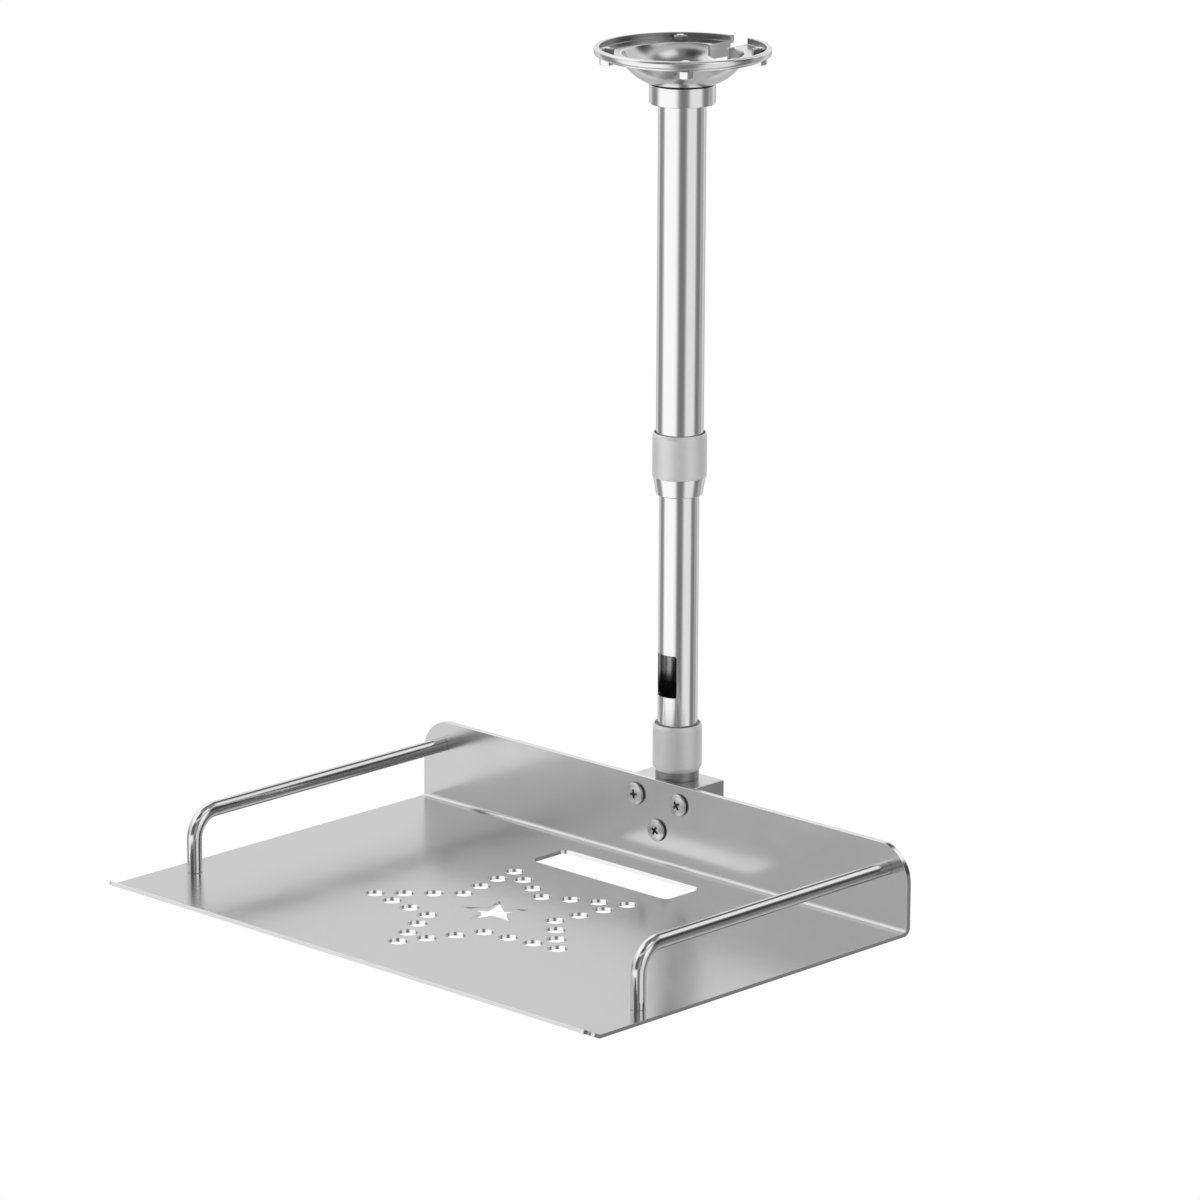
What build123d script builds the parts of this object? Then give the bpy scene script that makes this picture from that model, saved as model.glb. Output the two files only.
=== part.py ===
from build123d import *
from math import cos, hypot, radians, sin, sqrt, tan
import os

# Projector ceiling mount in polished and blasted stainless steel, sizes in millimetres.
# The origin is the centre of the ceiling plate's rim, on the plane of the ceiling.
# Z points up, the tray reaches forward along -Y, and the pole stands on the Z axis.

# Overall places
drop = 434.2            # from the ceiling down to the tray's upper face
fit_gap = 0.05          # radial play of a fitted or threaded pair
slide_gap = 0.3         # radial play round the sliding tube

# Ceiling plate
plate_radius = 45.9
rim_width = 3.0
rim_height = 4.0
plate_depth = 5.5       # ceiling to the underside of the recessed floor
floor_recess = 3.2      # ceiling to the top of the recessed floor
bowl_radius = 32.3      # outside of the bowl where it leaves the floor
bowl_depth = 13.7       # from the floor's underside down to the collar
bowl_wall = 1.7
bowl_foot_radius = 15.2
bowl_curve = 26.5       # radius of the round that the bowl's outside follows
notch_width = 12.0
notch_start = 27.0      # distance of the notch's inner end from the pole's axis
notch_cheek = 1.5
notch_depth = 11.0

# Ceiling bolts
bolt_circle_radius = 39.2
bolt_count = 4
bolt_radius = 2.0
bolt_head_flats = 7.0
bolt_head_height = 3.8
bolt_nut_height = 2.3
bolt_end = 0.4          # from the bolt's end up to the ceiling
flat_outward = 30.0     # turns a hexagon so that one flat faces the rim

# Collar under the ceiling plate
collar_radius = 17.2
collar_height = 10.0

# Pole
upper_tube_radius = 12.5
upper_tube_wall = 1.5
lower_tube_radius = 10.55
lower_tube_wall = 1.3
lower_tube_length = 284.0

# Lock nut at the foot of the upper tube
lock_nut_top = 231.2    # above the tray
lock_nut_height = 23.5
lock_nut_radius = 14.3
lock_nut_cup = 3.0
nut_cup_wall = 0.9
nut_bevel = 0.7         # bevel round the top of both grip nuts
nut_bevel_height = 1.8
lock_cone_height = 9.9
lock_cone_top_radius = 13.8
lock_cone_foot_radius = 12.2
lock_cone_spigot = 6.0
clamp_ring_height = 4.5
clamp_ring_slit = 1.5

# Cable window in the lower tube
window_height = 23.0
window_width = 13.4
window_round = 1.5
window_bottom = 89.2    # above the tray
window_angle = -90.0    # direction that the window faces, seen from above

# Swivel joint on the block
swivel_nut_height = 25.1
swivel_nut_radius = 13.05
swivel_nut_cup = 2.5
foot_bevel = 1.2        # bevel round the foot of the swivel nut
foot_bevel_height = 2.0
neck_show = 4.9         # length of the socket that shows under the nut
socket_radius = 11.5
socket_height = 22.0
socket_floor = 2.4
socket_spigot_radius = 8.5
socket_spigot = 14.0
edge_break = 0.5

# Block behind the tray's upturned back
block_width = 44.0
block_depth = 25.0
block_height = 34.0
block_below_back = 1.0  # the block's top lies this far under the back plate's edge

# Tray
tray_width = 350.0
tray_depth = 226.0      # from the back plate to the front bend
pole_setback = 15.0     # from the back plate's face to the pole's axis
sheet = 2.0
back_sheet = 3.0        # the back plate is thicker than the tray
back_height = 44.6
back_bend_radius = 2.0
back_outer_radius = 4.5
back_corner_radius = 19.0
lip_length = 8.0
lip_angle = 25.0
lip_bend_radius = 2.0
lip_corner_radius = 5.0
slot_width = 99.0
slot_depth = 27.0
slot_corner_radius = 4.0
slot_setback = 18.5     # from the back plate to the slot's back edge

# Star of holes and star cut-out
star_setback = 122.3    # from the back plate to the star's centre
star_radius = 69.7
star_waist_share = 0.5  # inner corners' radius as a share of the tips'
star_tips = 5
holes_per_side = 3
hole_radius = 5.2
cut_star_radius = 18.6
cut_star_waist_share = 0.38

# Side rails
rail_radius = 4.0
rail_bend_radius = 14.0
rail_height = 31.5      # rod's axis above the tray
rail_edge_distance = 14.5
rail_front_distance = 42.0
rail_screw_depth = 12.0

# Screws
screw_radius = 3.0
screw_head_radius = 6.0
screw_head_height = 2.2
screw_length = 16.0
screw_side_offset = 15.5
screw_upper_height = 34.3   # above the tray
screw_lower_height = 17.3
cross_width = 1.2
cross_length = 4.8
cross_depth = 1.6
small_screw_radius = 2.0
small_head_radius = 4.0
small_head_height = 2.6

# Places worked out from the sizes above
rim_inner_radius = plate_radius - rim_width
tray_top = -drop
back_face_front = -pole_setback
back_face_rear = back_face_front + back_sheet
front_bend = back_face_front - tray_depth
block_top = tray_top + back_height - block_below_back
collar_top = -(plate_depth + bowl_depth)
tube_bore = upper_tube_radius + fit_gap
lock_top = tray_top + lock_nut_top
lock_foot = lock_top - lock_nut_height
lock_cup_radius = lock_nut_radius - nut_cup_wall
cone_foot = lock_foot - lock_cone_height
ring_foot = lock_foot + lock_cone_spigot
upper_tube_foot = ring_foot + clamp_ring_height + slide_gap
swivel_nut_foot = block_top + neck_show
swivel_nut_top = swivel_nut_foot + swivel_nut_height
swivel_cup_radius = swivel_nut_radius - nut_cup_wall
tube_seat = block_top + socket_floor
lower_tube_foot = tube_seat + slide_gap
lower_tube_bore = lower_tube_radius + fit_gap
star_centre = back_face_front - star_setback
rail_side = tray_width / 2 - rail_edge_distance
rail_foot = front_bend + rail_front_distance
rail_level = tray_top + rail_height

os.makedirs("parts", exist_ok=True)


def save(piece, label):
    piece.part.label = label
    export_step(piece.part, f"parts/{label}.step")


def ring_profile(outer, inner, bottom, top):
    """Rectangle of a plain ring's section, for a revolve about the pole's axis."""
    with Locations(((outer + inner) / 2, (top + bottom) / 2)):
        Rectangle(outer - inner, top - bottom)


def star_points(radius, waist_share, centre_y):
    """Corners of a five-pointed star, first tip pointing to the tray's front."""
    corners = []
    for k in range(2 * star_tips):
        reach = radius if k % 2 == 0 else radius * waist_share
        turn = radians(-90 + k * 180 / star_tips)
        corners.append((reach * cos(turn), centre_y + reach * sin(turn)))
    return corners


# Ceiling plate: a spun dish with a raised rim, a recessed floor and a rounded bowl that
# stands on the collar. A notch with two cheeks lets the cable in.
floor_top = -floor_recess
floor_under = -plate_depth
bowl_run = bowl_radius - bowl_foot_radius
chord = hypot(bowl_run, bowl_depth)
centre_reach = sqrt(bowl_curve**2 - chord**2 / 4)
curve_centre = (bowl_radius + bowl_foot_radius) / 2 - centre_reach * bowl_depth / chord
curve_level = (floor_under + collar_top) / 2 + centre_reach * bowl_run / chord
inner_curve = bowl_curve - bowl_wall
lip_radius = curve_centre + sqrt(inner_curve**2 - (curve_level - floor_top) ** 2)
bore_joint = curve_level - sqrt(inner_curve**2 - (tube_bore - curve_centre) ** 2)

with BuildPart() as ceiling_plate:
    with BuildSketch(Plane.XZ):
        with BuildLine():
            RadiusArc((bowl_radius, floor_under), (bowl_foot_radius, collar_top), bowl_curve)
            RadiusArc((lip_radius, floor_top), (tube_bore, bore_joint), inner_curve)
            Polyline(
                (bowl_radius, floor_under),
                (rim_inner_radius, floor_under),
                (rim_inner_radius, -rim_height),
                (plate_radius, -rim_height),
                (plate_radius, 0),
                (rim_inner_radius, 0),
                (rim_inner_radius, floor_top),
                (lip_radius, floor_top),
            )
            Polyline((tube_bore, bore_joint), (tube_bore, collar_top), (bowl_foot_radius, collar_top))
        make_face()
    revolve(axis=Axis.Z)
    with BuildSketch(Plane.XY.offset(-notch_depth)):
        for side in (-1, 1):
            with Locations((side * (notch_width + notch_cheek) / 2, (notch_start + rim_inner_radius) / 2)):
                Rectangle(notch_cheek, rim_inner_radius - notch_start)
    extrude(amount=notch_depth + floor_top)
    with BuildSketch(Plane.XY.offset(-notch_depth)):
        with Locations((0, (notch_start + plate_radius + rim_width) / 2)):
            Rectangle(notch_width, plate_radius + rim_width - notch_start)
    extrude(amount=notch_depth + rim_height, mode=Mode.SUBTRACT)
    with BuildSketch(Plane.XY):
        with PolarLocations(bolt_circle_radius, bolt_count, start_angle=45):
            Circle(bolt_radius + fit_gap)
    extrude(amount=-plate_depth, mode=Mode.SUBTRACT)
save(ceiling_plate, "ceiling_plate")

# Ceiling bolts: hexagon heads under the plate's floor and a nut on top of it,
# a bolt every quarter turn, halfway between the notch and the sides.
bolt_names = ["back_right", "back_left", "front_left", "front_right"]
for index, place in enumerate(PolarLocations(bolt_circle_radius, bolt_count, start_angle=45)):
    with BuildPart() as ceiling_bolt:
        with BuildSketch(Plane.XY.offset(floor_under)):
            with Locations(place):
                RegularPolygon(bolt_head_flats / 2, 6, major_radius=False, rotation=flat_outward)
        extrude(amount=-bolt_head_height)
        with BuildSketch(Plane.XY.offset(floor_under)):
            with Locations(place):
                Circle(bolt_radius)
        extrude(amount=plate_depth - bolt_end)
        chamfer(ceiling_bolt.edges().group_by(Axis.Z)[0], edge_break)
    save(ceiling_bolt, f"ceiling_bolt_{bolt_names[index]}")
    with BuildPart() as ceiling_nut:
        with BuildSketch(Plane.XY.offset(floor_top)):
            with Locations(place):
                RegularPolygon(bolt_head_flats / 2, 6, major_radius=False, rotation=flat_outward)
                Circle(bolt_radius + fit_gap, mode=Mode.SUBTRACT)
        extrude(amount=bolt_nut_height)
    save(ceiling_nut, f"ceiling_nut_{bolt_names[index]}")

# Collar: a plain turned ring round the upper tube, on which the plate's bowl stands.
with BuildPart() as pole_collar:
    with BuildSketch(Plane.XZ):
        ring_profile(collar_radius, tube_bore, collar_top - collar_height, collar_top)
    revolve(axis=Axis.Z)
save(pole_collar, "pole_collar")

# Upper tube: fixed in the collar, its top flush with the floor of the bowl.
with BuildPart() as upper_tube:
    with BuildSketch(Plane.XZ):
        ring_profile(upper_tube_radius, upper_tube_radius - upper_tube_wall, upper_tube_foot, bore_joint)
    revolve(axis=Axis.Z)
save(upper_tube, "upper_tube")

# Lock nut: a blasted grip sleeve that turns on the upper tube's threaded foot,
# with a shallow cup round the tube at its top.
with BuildPart() as lock_nut:
    with BuildSketch(Plane.XZ):
        with BuildLine():
            Polyline(
                (tube_bore, lock_foot),
                (lock_nut_radius, lock_foot),
                (lock_nut_radius, lock_top - nut_bevel_height),
                (lock_nut_radius - nut_bevel, lock_top),
                (lock_cup_radius, lock_top),
                (lock_cup_radius, lock_top - lock_nut_cup),
                (tube_bore, lock_top - lock_nut_cup),
                close=True,
            )
        make_face()
    revolve(axis=Axis.Z)
save(lock_nut, "lock_nut")

# Lock cone: the polished nose in the foot of the nut, tapered down to the lower tube.
cone_bore = lower_tube_radius + slide_gap
with BuildPart() as lock_cone:
    with BuildSketch(Plane.XZ):
        with BuildLine():
            Polyline(
                (cone_bore, cone_foot),
                (lock_cone_foot_radius, cone_foot),
                (lock_cone_top_radius, lock_foot),
                (upper_tube_radius, lock_foot),
                (upper_tube_radius, ring_foot),
                (cone_bore, ring_foot),
                close=True,
            )
        make_face()
    revolve(axis=Axis.Z)
save(lock_cone, "lock_cone")

# Clamp ring: a split ring between the nose and the tube's foot, squeezed on the lower tube.
with BuildPart() as clamp_ring:
    with BuildSketch(Plane.XY.offset(ring_foot)):
        Circle(upper_tube_radius)
        Circle(lower_tube_bore, mode=Mode.SUBTRACT)
        with Locations((0, upper_tube_radius)):
            Rectangle(clamp_ring_slit, 2 * upper_tube_radius, mode=Mode.SUBTRACT)
    extrude(amount=clamp_ring_height)
save(clamp_ring, "clamp_ring")

# Lower tube: slides in the upper one and has a window near its foot for the cable.
with BuildPart() as lower_tube:
    with BuildSketch(Plane.XZ):
        ring_profile(
            lower_tube_radius,
            lower_tube_radius - lower_tube_wall,
            lower_tube_foot,
            lower_tube_foot + lower_tube_length,
        )
    revolve(axis=Axis.Z)
    window_facing = Vector(cos(radians(window_angle)), sin(radians(window_angle)), 0)
    window_centre = Vector(0, 0, tray_top + window_bottom + window_height / 2)
    window_plane = Plane(origin=window_centre, x_dir=Vector(0, 0, 1), z_dir=window_facing)
    with BuildSketch(window_plane):
        RectangleRounded(window_height, window_width, window_round)
    extrude(amount=2 * lower_tube_radius, mode=Mode.SUBTRACT)
save(lower_tube, "lower_tube")

# Swivel nut: the lower blasted grip, which clamps the tube in the socket. Its bore
# steps in above the socket, down to the tube.
nut_bore = socket_radius + fit_gap
tube_hole = lower_tube_radius + slide_gap
bore_step = block_top + socket_height + slide_gap
with BuildPart() as swivel_nut:
    with BuildSketch(Plane.XZ):
        with BuildLine():
            Polyline(
                (nut_bore, swivel_nut_foot),
                (swivel_nut_radius - foot_bevel, swivel_nut_foot),
                (swivel_nut_radius, swivel_nut_foot + foot_bevel_height),
                (swivel_nut_radius, swivel_nut_top - nut_bevel_height),
                (swivel_nut_radius - nut_bevel, swivel_nut_top),
                (swivel_cup_radius, swivel_nut_top),
                (swivel_cup_radius, swivel_nut_top - swivel_nut_cup),
                (tube_hole, swivel_nut_top - swivel_nut_cup),
                (tube_hole, bore_step),
                (nut_bore, bore_step),
                close=True,
            )
        make_face()
    revolve(axis=Axis.Z)
save(swivel_nut, "swivel_nut")

# Swivel socket: turned sleeve on the block that takes the lower tube's foot.
with BuildPart() as swivel_socket:
    with BuildSketch(Plane.XZ):
        ring_profile(socket_spigot_radius, 0, block_top - socket_spigot, block_top)
        ring_profile(socket_radius, 0, block_top, tube_seat)
        ring_profile(socket_radius, lower_tube_bore, tube_seat, block_top + socket_height)
    revolve(axis=Axis.Z)
save(swivel_socket, "swivel_socket")

# Mount block: solid bar behind the back plate, bored for the socket and tapped for three screws.
screw_places = [
    (-screw_side_offset, tray_top + screw_upper_height),
    (screw_side_offset, tray_top + screw_upper_height),
    (0, tray_top + screw_lower_height),
]
screw_reach = screw_length - back_sheet
with BuildPart() as mount_block:
    with BuildSketch(Plane.XY.offset(block_top - block_height)):
        with Locations((0, back_face_rear + block_depth / 2)):
            Rectangle(block_width, block_depth)
    extrude(amount=block_height)
    chamfer(mount_block.edges().filter_by(Axis.Z).group_by(Axis.Y)[-1], edge_break)
    with BuildSketch(Plane.XY.offset(block_top)):
        Circle(socket_spigot_radius + fit_gap)
    extrude(amount=-socket_spigot, mode=Mode.SUBTRACT)
    with BuildSketch(Plane.XZ.offset(-back_face_rear)):
        with Locations(*screw_places):
            Circle(screw_radius + fit_gap)
    extrude(amount=-screw_reach, mode=Mode.SUBTRACT)
save(mount_block, "mount_block")

# Tray: a sheet with an upturned, thicker back plate and a slanted front lip, rounded
# corners, a cable slot, a star of round holes and a star cut-out in its middle.
slant = radians(lip_angle)
lip_run = lip_length * cos(slant)
lip_rise = lip_length * sin(slant)
big_star = star_points(star_radius, star_waist_share, star_centre)
cut_star = star_points(cut_star_radius, cut_star_waist_share, star_centre)
star_holes = []
for start, end in zip(big_star, big_star[1:] + big_star[:1]):
    for step in range(holes_per_side):
        share = step / holes_per_side
        star_holes.append((start[0] + share * (end[0] - start[0]), start[1] + share * (end[1] - start[1])))

with BuildPart() as tray:
    with BuildSketch(Plane.YZ.offset(-tray_width / 2)):
        with BuildLine():
            upper = FilletPolyline(
                (front_bend - lip_run, tray_top + lip_rise),
                (front_bend, tray_top),
                (back_face_front, tray_top),
                (back_face_front, tray_top + back_height),
                radius=[lip_bend_radius, back_bend_radius],
            )
            lower = FilletPolyline(
                (front_bend - lip_run - sheet * sin(slant), tray_top + lip_rise - sheet * cos(slant)),
                (front_bend - sheet * tan(slant / 2), tray_top - sheet),
                (back_face_rear, tray_top - sheet),
                (back_face_rear, tray_top + back_height),
                radius=[lip_bend_radius + sheet, back_outer_radius],
            )
            Line(upper @ 0, lower @ 0)
            Line(upper @ 1, lower @ 1)
        make_face()
    extrude(amount=tray_width)
    fillet(tray.edges().filter_by(Axis.Y).group_by(Axis.Z)[-1], back_corner_radius)
    lip_ends = tray.edges().filter_by(lambda edge: abs(edge.length - sheet) < fit_gap).group_by(Axis.Y)[0]
    fillet(lip_ends, lip_corner_radius)
    with BuildSketch(Plane.XY.offset(tray_top)):
        with Locations((0, back_face_front - slot_setback - slot_depth / 2)):
            RectangleRounded(slot_width, slot_depth, slot_corner_radius)
        with Locations(*star_holes):
            Circle(hole_radius)
        Polygon(*cut_star, align=None)
        with Locations((-rail_side, rail_foot), (rail_side, rail_foot)):
            Circle(small_screw_radius + fit_gap)
    extrude(amount=-sheet, mode=Mode.SUBTRACT)
    with BuildSketch(Plane.XZ.offset(-back_face_front)):
        with Locations(*screw_places):
            Circle(screw_radius + fit_gap)
        with Locations((-rail_side, rail_level), (rail_side, rail_level)):
            Circle(small_screw_radius + fit_gap)
    extrude(amount=-back_sheet, mode=Mode.SUBTRACT)
save(tray, "tray")


def pan_screw(head_plane, shank, length, head, height):
    """Pan-head screw with a cross recess: head on the plane, shank behind it."""
    with BuildPart() as screw:
        with BuildSketch(head_plane):
            Circle(head)
        extrude(amount=height)
        with BuildSketch(head_plane):
            Circle(shank)
        extrude(amount=-length)
        with BuildSketch(head_plane.offset(height)):
            Rectangle(cross_length * head / screw_head_radius, cross_width * head / screw_head_radius)
            Rectangle(cross_width * head / screw_head_radius, cross_length * head / screw_head_radius)
        extrude(amount=-cross_depth * head / screw_head_radius, mode=Mode.SUBTRACT)
    return screw


# Back screws: three pan heads through the back plate into the block.
screw_names = ["back_screw_left", "back_screw_right", "back_screw_lower"]
for (screw_x, screw_z), name in zip(screw_places, screw_names):
    head_plane = Plane(origin=(screw_x, back_face_front, screw_z), x_dir=(1, 0, 0), z_dir=(0, -1, 0))
    save(pan_screw(head_plane, screw_radius, screw_length, screw_head_radius, screw_head_height), name)

# Side rails: bent rods that stand on the tray and run back to the back plate,
# held by a small screw at each end.
for side, name in ((-1, "left"), (1, "right")):
    rail_x = side * rail_side
    with BuildPart() as rail:
        with BuildLine():
            FilletPolyline(
                (rail_x, rail_foot, tray_top),
                (rail_x, rail_foot, rail_level),
                (rail_x, back_face_front, rail_level),
                radius=rail_bend_radius,
            )
        with BuildSketch(Plane.XY.offset(tray_top)):
            with Locations((rail_x, rail_foot)):
                Circle(rail_radius)
        sweep()
        with BuildSketch(Plane.XY.offset(tray_top)):
            with Locations((rail_x, rail_foot)):
                Circle(small_screw_radius + fit_gap)
        extrude(amount=rail_screw_depth, mode=Mode.SUBTRACT)
        with BuildSketch(Plane.XZ.offset(-back_face_front)):
            with Locations((rail_x, rail_level)):
                Circle(small_screw_radius + fit_gap)
        extrude(amount=rail_screw_depth, mode=Mode.SUBTRACT)
    save(rail, f"{name}_rail")
    foot_plane = Plane(origin=(rail_x, rail_foot, tray_top - sheet), x_dir=(1, 0, 0), z_dir=(0, 0, -1))
    end_plane = Plane(origin=(rail_x, back_face_rear, rail_level), x_dir=(1, 0, 0), z_dir=(0, 1, 0))
    foot_screw = pan_screw(
        foot_plane, small_screw_radius, sheet + rail_screw_depth, small_head_radius, small_head_height
    )
    save(foot_screw, f"{name}_rail_foot_screw")
    end_screw = pan_screw(
        end_plane, small_screw_radius, back_sheet + rail_screw_depth, small_head_radius, small_head_height
    )
    save(end_screw, f"{name}_rail_back_screw")
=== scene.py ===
import bmesh
import bpy
from math import atan2, cos, hypot, pi, radians, sin, sqrt, tan
from mathutils import Matrix, Vector
from mathutils.geometry import tessellate_polygon


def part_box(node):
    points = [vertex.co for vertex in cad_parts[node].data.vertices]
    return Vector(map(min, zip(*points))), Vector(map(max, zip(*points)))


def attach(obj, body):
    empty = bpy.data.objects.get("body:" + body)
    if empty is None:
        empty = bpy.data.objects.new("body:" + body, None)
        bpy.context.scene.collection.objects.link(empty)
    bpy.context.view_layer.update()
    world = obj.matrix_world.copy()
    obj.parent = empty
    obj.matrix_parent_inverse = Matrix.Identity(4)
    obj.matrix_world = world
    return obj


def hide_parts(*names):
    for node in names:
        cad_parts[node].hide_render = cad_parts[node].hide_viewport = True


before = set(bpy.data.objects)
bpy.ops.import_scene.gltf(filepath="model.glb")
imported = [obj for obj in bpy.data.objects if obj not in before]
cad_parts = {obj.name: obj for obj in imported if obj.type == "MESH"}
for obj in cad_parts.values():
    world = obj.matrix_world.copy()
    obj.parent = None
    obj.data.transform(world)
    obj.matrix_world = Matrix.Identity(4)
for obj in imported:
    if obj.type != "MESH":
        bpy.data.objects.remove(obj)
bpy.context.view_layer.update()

# Projector ceiling mount in stainless steel, in metres, with the centre of the ceiling
# plate's rim at the origin, the pole on the Z axis and the tray reaching forward along -Y.
mm = 0.001

# Camera
# A long lens, 3.3 m off at the front right of the tray, level with the space above the
# ceiling plate and looking 15 degrees down, held almost upright.
camera_place = Vector((2.2247, -2.3868, 0.5770))
camera_turn = radians(43.71)
camera_tilt = radians(14.95)
camera_roll = radians(0.278)
picture_side = 1200
focal_pixels = 6431
film_side = 36.0

lens = bpy.data.cameras.new("camera")
lens.sensor_width = film_side
lens.lens = film_side * focal_pixels / picture_side
lens.clip_end = 100
camera = bpy.data.objects.new("camera", lens)
aim = Matrix.Rotation(camera_turn, 4, "Z") @ Matrix.Rotation(pi / 2 - camera_tilt, 4, "X")
camera.matrix_world = Matrix.Translation(camera_place) @ aim @ Matrix.Rotation(camera_roll, 4, "Z")
bpy.context.collection.objects.link(camera)
bpy.context.scene.camera = camera
bpy.context.scene.view_settings.view_transform = "Standard"

# Studio
# A white room with a grey ceiling, and bright panels and dark cards round the mount that
# draw the streaks on its polished metal. Turns are degrees round the pole and heights run
# from -1, straight down, to 1, straight up. The camera sees white only.
room_light = 0.88
plain_white = 1.0
all_round = 180
everywhere = (-3, -2)
cards = [
    {"turn": 0, "half": 180, "soft": 1, "low": 0.76, "high": 2.0, "edge": 0.05, "light": 0.24},
    {"turn": -22, "half": 78, "soft": 10, "low": 0.06, "high": 0.66, "edge": 0.07, "light": 0.22},
    {"turn": 0, "half": 26, "soft": 10, "low": 0.79, "high": 0.93, "edge": 0.03, "light": 1.25},
    {"turn": 175, "half": 40, "soft": 8, "low": 0.45, "high": 0.85, "edge": 0.04, "light": 1.25},
    {"turn": -138, "half": 26, "soft": 8, "low": 0.44, "high": 0.93, "edge": 0.04, "light": 1.25},
    {"turn": -77, "half": 18, "soft": 9, "low": 0.78, "high": 0.95, "edge": 0.03, "light": 0.05},
    {"turn": -42, "half": 10, "soft": 17, "low": -2.0, "high": 0.1, "edge": 0.10, "light": 0.21},
    {"turn": 43, "half": 12, "soft": 12, "low": -2.0, "high": 0.1, "edge": 0.10, "light": 0.22},
    {"turn": 69, "half": 8, "soft": 10, "low": -2.0, "high": 0.10, "edge": 0.12, "light": 0.42},
    {"turn": 130, "half": 34, "soft": 16, "low": -2.0, "high": -0.05, "edge": 0.08, "light": 0.55},
    {"turn": -109, "half": 38, "soft": 12, "low": -2.0, "high": -0.02, "edge": 0.08, "light": 1.15},
    {"turn": -160, "half": 10, "soft": 18, "low": -2.0, "high": 0.10, "edge": 0.10, "light": 0.29},
    {"turn": 41, "half": 14, "soft": 8, "low": 0.04, "high": 0.54, "edge": 0.10, "light": 0.06},
    {"turn": -86, "half": 20, "soft": 8, "low": 0.06, "high": 0.60, "edge": 0.07, "light": 0.12},
    {"turn": -46, "half": 8, "soft": 8, "low": 0.06, "high": 0.45, "edge": 0.08, "light": 0.42},
    {"turn": 2, "half": 16, "soft": 8, "low": 0.08, "high": 0.60, "edge": 0.06, "light": 1.20},
    {"turn": 76, "half": 14, "soft": 9, "low": 0.52, "high": 0.80, "edge": 0.07, "light": 1.05},
    {"turn": 116, "half": 12, "soft": 8, "low": 0.50, "high": 0.84, "edge": 0.06, "light": 0.12},
]

world = bpy.data.worlds.new("studio")
bpy.context.scene.world = world
world.use_nodes = True
air, wires = world.node_tree.nodes, world.node_tree.links
background = air["Background"]
background.inputs["Color"].default_value = (1, 1, 1, 1)
sight = air.new("ShaderNodeTexCoord")
level_sight = air.new("ShaderNodeVectorMath")
level_sight.operation = "MULTIPLY"
level_sight.inputs[1].default_value = (1, 1, 0)
wires.new(sight.outputs["Generated"], level_sight.inputs[0])
round_sight = air.new("ShaderNodeVectorMath")
round_sight.operation = "NORMALIZE"
wires.new(level_sight.outputs[0], round_sight.inputs[0])
split = air.new("ShaderNodeSeparateXYZ")
wires.new(sight.outputs["Generated"], split.inputs[0])


def ramp(source, low, high):
    """Soft step from 0 at low to 1 at high."""
    step = air.new("ShaderNodeMapRange")
    step.interpolation_type = "SMOOTHSTEP"
    step.inputs["From Min"].default_value = low
    step.inputs["From Max"].default_value = high
    wires.new(source, step.inputs["Value"])
    return step.outputs["Result"]


def times(first, second):
    """Product of two soft steps."""
    product = air.new("ShaderNodeMath")
    product.operation = "MULTIPLY"
    wires.new(first, product.inputs[0])
    wires.new(second, product.inputs[1])
    return product.outputs[0]


light = None
for card in cards:
    toward = air.new("ShaderNodeVectorMath")
    toward.operation = "DOT_PRODUCT"
    toward.inputs[1].default_value = (cos(radians(card["turn"])), sin(radians(card["turn"])), 0)
    wires.new(round_sight.outputs[0], toward.inputs[0])
    if card["half"] == all_round:
        outer, inner = everywhere
    else:
        outer = cos(radians(card["half"] + card["soft"]))
        inner = cos(radians(max(card["half"] - card["soft"], 0)))
    amount = ramp(toward.outputs["Value"], outer, inner)
    edge = card["edge"]
    amount = times(amount, ramp(split.outputs["Z"], card["high"] + edge, card["high"] - edge))
    amount = times(amount, ramp(split.outputs["Z"], card["low"] - edge, card["low"] + edge))
    blend = air.new("ShaderNodeMix")
    blend.data_type = "FLOAT"
    wires.new(amount, blend.inputs["Factor"])
    if light is None:
        blend.inputs[2].default_value = room_light
    else:
        wires.new(light, blend.inputs[2])
    blend.inputs[3].default_value = card["light"]
    light = blend.outputs[0]

ray = air.new("ShaderNodeLightPath")
seen = air.new("ShaderNodeMath")
seen.operation = "MAXIMUM"
wires.new(ray.outputs["Is Camera Ray"], seen.inputs[0])
wires.new(ray.outputs["Is Transmission Ray"], seen.inputs[1])
choice = air.new("ShaderNodeMix")
choice.data_type = "FLOAT"
wires.new(seen.outputs[0], choice.inputs["Factor"])
wires.new(light, choice.inputs[2])
choice.inputs[3].default_value = plain_white
wires.new(choice.outputs[0], background.inputs["Strength"])

# Floor
# A round floor well under the tray, painted a matte pale grey, that the camera sees as
# white as the room behind it.
floor_drop = 2.0
floor_radius = 1.2
floor_sides = 96
floor_colour = (0.82, 0.82, 0.82, 1)
floor_roughness = 0.8
floor_shape = bmesh.new()
bmesh.ops.create_circle(floor_shape, cap_ends=True, radius=floor_radius, segments=floor_sides)
bmesh.ops.translate(floor_shape, verts=floor_shape.verts, vec=(0, 0, -floor_drop))
floor_mesh = bpy.data.meshes.new("floor")
floor_shape.to_mesh(floor_mesh)
floor_shape.free()
floor = bpy.data.objects.new("floor", floor_mesh)
bpy.context.collection.objects.link(floor)
paint = bpy.data.materials.new("floor_paint")
paint.use_nodes = True
coat, joins = paint.node_tree.nodes, paint.node_tree.links
coat["Principled BSDF"].inputs["Base Color"].default_value = floor_colour
coat["Principled BSDF"].inputs["Roughness"].default_value = floor_roughness
glow = coat.new("ShaderNodeEmission")
path = coat.new("ShaderNodeLightPath")
either = coat.new("ShaderNodeMath")
either.operation = "MAXIMUM"
joins.new(path.outputs["Is Camera Ray"], either.inputs[0])
joins.new(path.outputs["Is Transmission Ray"], either.inputs[1])
mixer = coat.new("ShaderNodeMixShader")
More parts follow.
